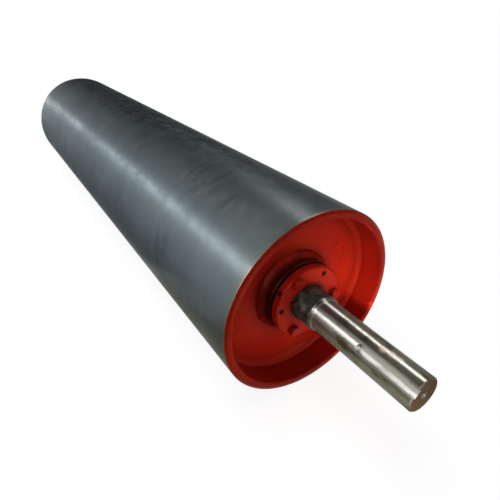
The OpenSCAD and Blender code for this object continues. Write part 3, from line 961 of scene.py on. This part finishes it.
# long tubes beside the drum, by their angle round the shaft, and small panels in front of the ends
leftLine = {"angle": 146.5, "distance": 1.75, "width": 0.36}
tubes = {
    "leftTube": {**leftLine, "across": (-7.0, -2.7), "radiance": 4.2, "colour": (0.92, 1.0, 1.07)},
    "nearTube": {**leftLine, "across": (-2.7, 0.5), "radiance": 3.4, "colour": (1.0, 1.0, 0.97)},
    "rightTube": {"angle": 63, "distance": 2.0, "width": 0.30, "across": (-1.00, 0.45), "radiance": 6.3,
                  "colour": (1.0, 0.97, 0.92)}}
panels = {
    "frontPanel": {"place": (1.20, 0.12, -0.05), "aim": (0.62, 0.0, 0.0), "size": 0.12, "radiance": 13.0,
                   "colour": (1.0, 0.98, 0.95)},
    "lowPanel": {"place": (0.95, 0.03, -0.10), "aim": (0.62, 0.0, 0.0), "size": 0.08, "radiance": 9.5,
                 "colour": (1.0, 0.97, 0.93)},
    "keyBeam": {"place": (1.46, -0.70, 0.55), "aim": (0.60, 0.128, -0.03), "size": 0.12, "radiance": 1.0,
                "spread": 10, "colour": (1.0, 0.97, 0.92)},
    "tailPanel": {"place": (-1.20, -0.12, 0.02), "aim": (-0.62, 0.0, 0.0), "size": 0.16, "radiance": 12.0,
                  "colour": (1.0, 0.98, 0.95)}}
# the lamps leave the floor alone; its own soft sun gives it the shadow
floorSun = {"strength": 0.50, "angle": 40.0, "tilt": (12.0, -8.0)}
groups = {"onFloor": bpy.data.collections.new("onFloor"), "offFloor": bpy.data.collections.new("offFloor")}


def addLamp(name, look, sizes, towards, lengthways, centre):
    data = bpy.data.lights.new(name, "AREA")
    data.shape = "RECTANGLE"
    data.size, data.size_y = sizes
    data.energy = look["radiance"] * pi * sizes[0] * sizes[1]
    data.color = look["colour"]
    data.spread = radians(look.get("spread", 180))
    lamp = linked(name, data)
    lamp.matrix_world = Matrix.Translation(centre) @ Matrix(
        (lengthways, lengthways.cross(towards), -towards)).transposed().to_4x4()
    lamp.visible_camera = False
    lamp.light_linking.receiver_collection = groups["offFloor"]


def makeFloorSun(floor):
    for name, state in (("onFloor", "INCLUDE"), ("offFloor", "EXCLUDE")):
        groups[name].objects.link(floor)
        groups[name].collection_objects[0].light_linking.link_state = state
    data = bpy.data.lights.new("floorSun", "SUN")
    data.energy = floorSun["strength"]
    data.angle = radians(floorSun["angle"])
    lamp = linked("floorSun", data)
    lamp.rotation_euler = [radians(turn) for turn in floorSun["tilt"]] + [0]
    lamp.light_linking.receiver_collection = groups["onFloor"]


def makeLamps():
    for name, look in tubes.items():
        low, high = look["across"]
        outward = spunPoint(0, 1, radians(look["angle"]))
        addLamp(name, look, (high - low, look["width"]), -outward, Vector((1, 0, 0)),
                outward * look["distance"] + Vector(((low + high) / 2, 0, 0)))
    for name, look in panels.items():
        place = Vector(look["place"])
        towards = (Vector(look["aim"]) - place).normalized()
        addLamp(name, look, (look["size"], look["size"]), towards,
                towards.cross(Vector((0, 0, 1))).normalized(), place)


# glowing cards that only gloss sees: curved ones by their angles round the shaft, flat ones just over the
# floor; each lies across its reach along the shaft, and glows from shade to top over the fade
rightArc = {"angles": (-4, 113), "distance": 2.3}
leftArc = {"angles": (113, 178), "distance": 2.8, "fade": (118, 145), "curve": 1.0}
cards = {
    "farCard": {**rightArc, "across": (-60.0, -2.5), "shade": 0.005, "top": 0.85, "fade": (17, 118), "curve": 2.6},
    "midCard": {**rightArc, "across": (-2.5, -1.1), "shade": 0.25, "top": 1.35, "fade": (17, 113), "curve": 1.1},
    "nearCard": {**rightArc, "across": (-1.1, 5.0), "shade": 0.50, "top": 0.10, "fade": (17, 128), "curve": 0.7},
    "hazeCard": {**leftArc, "across": (-7.0, -3.7), "shade": 1.0, "top": 1.65, "colour": (0.86, 0.99, 1.15)},
    "nearHazeCard": {**leftArc, "across": (-3.7, 0.4), "shade": 0.95, "top": 1.35, "colour": (0.99, 1.0, 0.98)},
    "leftFloorCard": {"floor": (-12.0, -0.16), "across": (-60.0, 0.2), "shade": 0.30, "top": 1.15,
                      "fade": (0.16, 1.0), "curve": 0.55, "colour": (0.94, 1.0, 1.05)},
    "leftStreak": {"angles": (137, 160), "distance": 1.7, "across": (0.75, 2.6), "shade": 11.0,
                   "colour": (1.0, 1.07, 1.20)},
    "rightStreak": {"angles": (54, 68), "distance": 1.95, "across": (0.1, 2.4), "shade": 9.0,
                    "colour": (1.0, 1.04, 1.15)},
    "lowCard": {"floor": (-3.0, -0.24), "across": (0.40, 1.7), "shade": 0.42, "colour": (1.0, 0.98, 0.76)},
    "underCard": {"floor": (-0.24, -0.02), "across": (0.25, 1.1), "shade": 0.68, "colour": (1.0, 0.97, 0.80)}}
cardBuild = {"steps": 24, "overFloor": 0.001, "colour": (1.0, 1.0, 0.96)}


def cardGlow(tree, look):
    if "top" not in look:
        return look["shade"]
    if "angles" in look:
        place, fade = roundShaft(tree), [radians(angle) for angle in look["fade"]]
    else:
        place, fade = calc(tree, "ABSOLUTE", axes(tree)["Y"]), look["fade"]
    share = calc(tree, "POWER", ramp(tree, place, *fade), look["curve"])
    return plus(tree, times(tree, share, look["top"] - look["shade"]), look["shade"])


def makeCard(name, look):
    bm = bmesh.new()
    if "angles" in look:
        low, high = (radians(angle) for angle in look["angles"])
        turns = [low + (high - low) * step / cardBuild["steps"] for step in range(cardBuild["steps"] + 1)]
        points = [(look["distance"] * cos(turn), look["distance"] * sin(turn)) for turn in turns]
    else:
        points = [(y, -drumRadius + cardBuild["overFloor"]) for y in look["floor"]]
    pairs = [[bm.verts.new((x, y, z)) for x in look["across"]] for y, z in points]
    for here, following in zip(pairs, pairs[1:]):
        bm.faces.new((here[0], here[1], following[1], following[0]))
    card = newObject(name, bm, [])
    material, tree = newMaterial(name)
    glow = addNode(tree, "Emission", {"Color": (*look.get("colour", cardBuild["colour"]), 1.0),
                                      "Strength": cardGlow(tree, look)})
    addNode(tree, "OutputMaterial", {"Surface": glow.outputs[0]})
    card.data.materials.append(material)
    card.visible_camera = card.visible_diffuse = card.visible_shadow = card.visible_transmission = False


# the place is in drum radii from the middle of the drive rim
camera = {"azimuth": -33.0717, "elevation": 31.1979, "place": (2.2613, -2.2104, 2.5173), "lens": 29.455,
          "sensor": 36, "farthest": 200}


def makeCamera():
    data = bpy.data.cameras.new("camera")
    data.sensor_width = camera["sensor"]
    data.lens = camera["lens"]
    data.clip_end = camera["farthest"]
    viewer = linked("camera", data)
    azimuth, elevation = radians(camera["azimuth"]), radians(camera["elevation"])
    back = Vector((cos(elevation) * cos(azimuth), cos(elevation) * sin(azimuth), sin(elevation)))
    viewer.rotation_mode = "QUATERNION"
    viewer.rotation_quaternion = back.to_track_quat("Z", "Y")
    viewer.location = Vector((rimX, 0, 0)) + Vector(camera["place"]) * drumRadius
    scene.camera = viewer


makeFloorSun(makeFloor())
makeSky()
makeLamps()
for name, look in cards.items():
    makeCard(name, look)
makeCamera()
print("floor, light and camera set")
